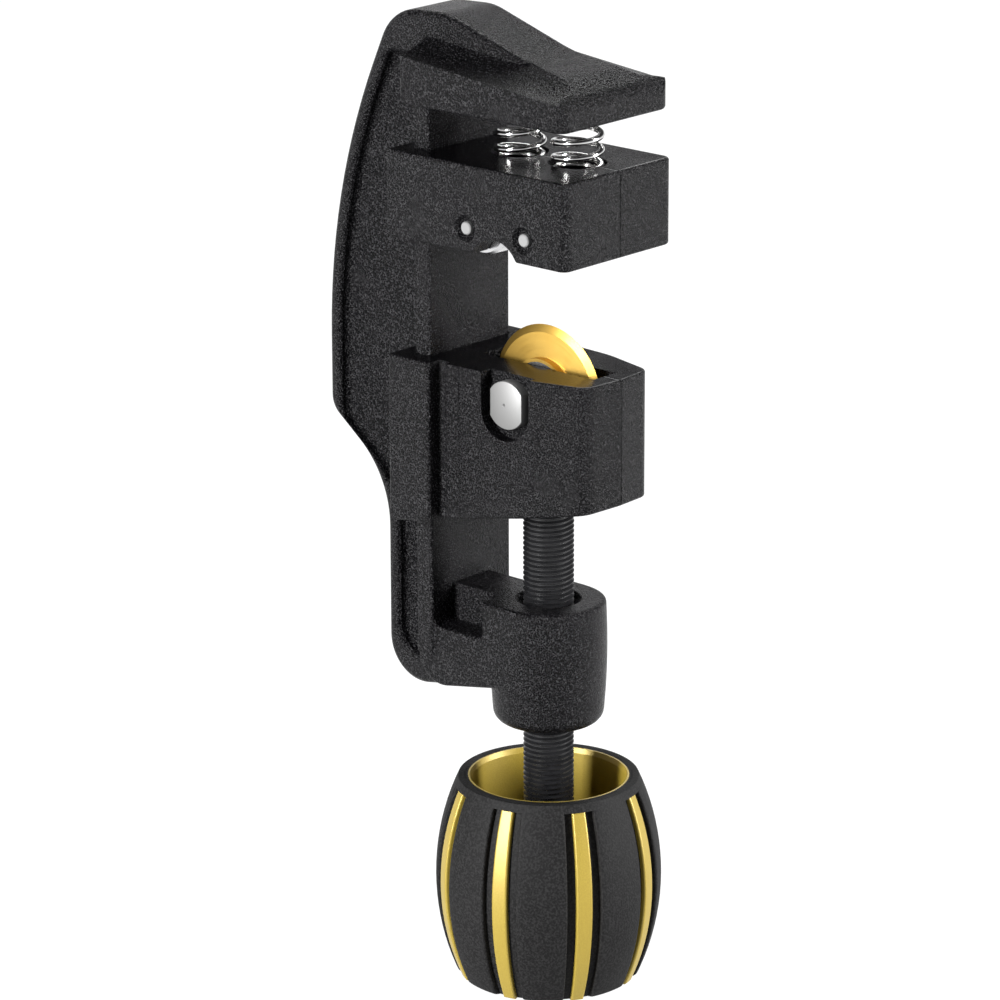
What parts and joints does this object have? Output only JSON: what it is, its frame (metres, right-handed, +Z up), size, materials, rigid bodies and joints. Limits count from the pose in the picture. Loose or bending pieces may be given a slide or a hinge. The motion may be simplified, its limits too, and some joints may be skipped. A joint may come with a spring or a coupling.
{
  "type": "tube cutter",
  "caption": "Knob-feed tube cutter: C-shaped cast frame, spring-loaded roller carriage, sliding block with a coated cutting wheel, feed screw and ribbed barrel knob.",
  "frame": {"origin": "on the feed screw's axis, in the knob's underside", "axes": "+Z up along the feed screw from the knob to the head, +X from the spine towards the nose, +Y away from the side with the axle's D-shaped head"},
  "size_m": [0.0729, 0.0442, 0.1897],
  "materials": {
    "cast_black": "black powder coat, fine texture",
    "roller_steel": "ground steel",
    "pin_steel": "bright matte steel",
    "spring_chrome": "polished chrome",
    "screw_black": "black oxide, semi-gloss",
    "wheel_gold": "gold-coloured coating, satin",
    "bearing_steel": "polished bearing steel",
    "axle_steel": "blasted steel",
    "fastener_steel": "dark steel",
    "knob_gold": "gold metallic paint",
    "knob_rubber": "matte rubber"
  },
  "bodies": {
    "frame": {"frame": "cast_black", "spring_front": "spring_chrome", "spring_rear": "spring_chrome"},
    "roller_carriage": {"roller_carriage_near": "cast_black", "roller_carriage_far": "cast_black", "carriage_stop_screw": "fastener_steel", "carriage_screw_1": "fastener_steel", "carriage_screw_2": "fastener_steel", "roller_pin_front": "pin_steel", "roller_pin_rear": "pin_steel"},
    "roller_front": {"roller_front": "roller_steel"},
    "roller_rear": {"roller_rear": "roller_steel"},
    "cutter_slide": {"cutter_slide_near": "cast_black", "cutter_slide_far": "cast_black", "slide_screw_1": "fastener_steel", "slide_screw_2": "fastener_steel", "slide_screw_3": "fastener_steel", "wheel_axle": "axle_steel", "axle_screw": "fastener_steel", "bearing_inner_race": "bearing_steel", "wheel_washer_near": "bearing_steel", "wheel_washer_far": "bearing_steel"},
    "cutter_wheel": {"cutter_wheel": "wheel_gold", "bearing_outer_race": "bearing_steel", "bearing_shield_near": "bearing_steel", "bearing_shield_far": "bearing_steel", "bearing_ball_1": "bearing_steel", "bearing_ball_2": "bearing_steel", "bearing_ball_3": "bearing_steel", "bearing_ball_4": "bearing_steel", "bearing_ball_5": "bearing_steel", "bearing_ball_6": "bearing_steel", "bearing_ball_7": "bearing_steel", "bearing_ball_8": "bearing_steel"},
    "feed_screw": {"feed_screw": "screw_black", "thrust_washer": "bearing_steel", "knob_core": "knob_gold", "knob_grip": "knob_rubber", "knob_washer": "fastener_steel", "knob_screw": "fastener_steel", "knob_cap": "knob_rubber"}
  },
  "joints": [
    {"name": "carriage_float", "type": "slide", "parent": "frame", "child": "roller_carriage", "axis": [0, 0, 1], "range_m": [0, 0.004], "stiffness_N_per_m": 3000, "springref_m": -0.005, "deforming": ["spring_front", "spring_rear"]},
    {"name": "roller_front_spin", "type": "hinge", "parent": "roller_carriage", "child": "roller_front", "pos_m": [0.0072, 0, 0.152], "axis": [0, 1, 0], "continuous": true},
    {"name": "roller_rear_spin", "type": "hinge", "parent": "roller_carriage", "child": "roller_rear", "pos_m": [-0.0072, 0, 0.152], "axis": [0, 1, 0], "continuous": true},
    {"name": "slide_feed", "type": "slide", "parent": "frame", "child": "cutter_slide", "axis": [0, 0, 1], "range_m": [-0.01452, 0.01402]},
    {"name": "wheel_spin", "type": "hinge", "parent": "cutter_slide", "child": "cutter_wheel", "pos_m": [0, 0, 0.1182], "axis": [0, 1, 0], "continuous": true},
    {"name": "knob_turn", "type": "hinge", "parent": "cutter_slide", "child": "feed_screw", "pos_m": [0, 0, 0.05], "axis": [0, 0, 1], "range_deg": [-5220, 5040]}
  ],
  "couplings": [
    {"joint": "slide_feed", "follows": "knob_turn", "m_per_rad": 0.00015915}
  ]
}
